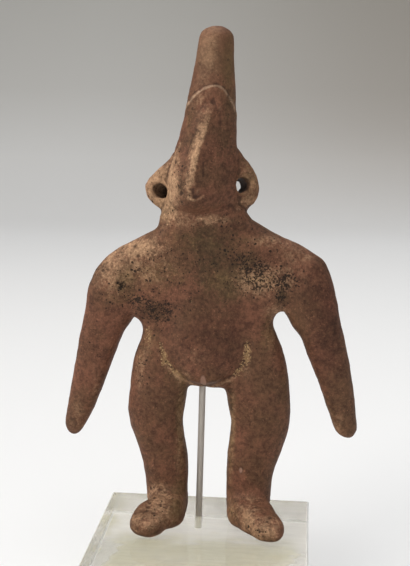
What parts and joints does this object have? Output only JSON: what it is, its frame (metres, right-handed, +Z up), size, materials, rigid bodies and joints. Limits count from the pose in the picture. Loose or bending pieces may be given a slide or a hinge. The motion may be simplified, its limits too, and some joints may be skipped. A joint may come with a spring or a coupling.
{
  "type": "fertility figure",
  "caption": "Flat fired-clay figure with a tall conical head, beak nose, pierced ears, long arms and splayed feet, held just above a clear block by a thin rod.",
  "frame": {"origin": "centre of the block's flat underside", "axes": "+Z up; the figure faces -Y; +X is the figure's left"},
  "size_m": [0.1064, 0.0762, 0.2015],
  "materials": {
    "clay_figure": "burnished reddish-brown slip, worn and spotted with black mineral",
    "support_rod": "dull grey",
    "clear_block": "clear, polished, lightly rubbed"
  },
  "bodies": {
    "root": {"clay_figure": "clay_figure", "support_rod": "support_rod", "clear_block": "clear_block"}
  },
  "joints": []
}
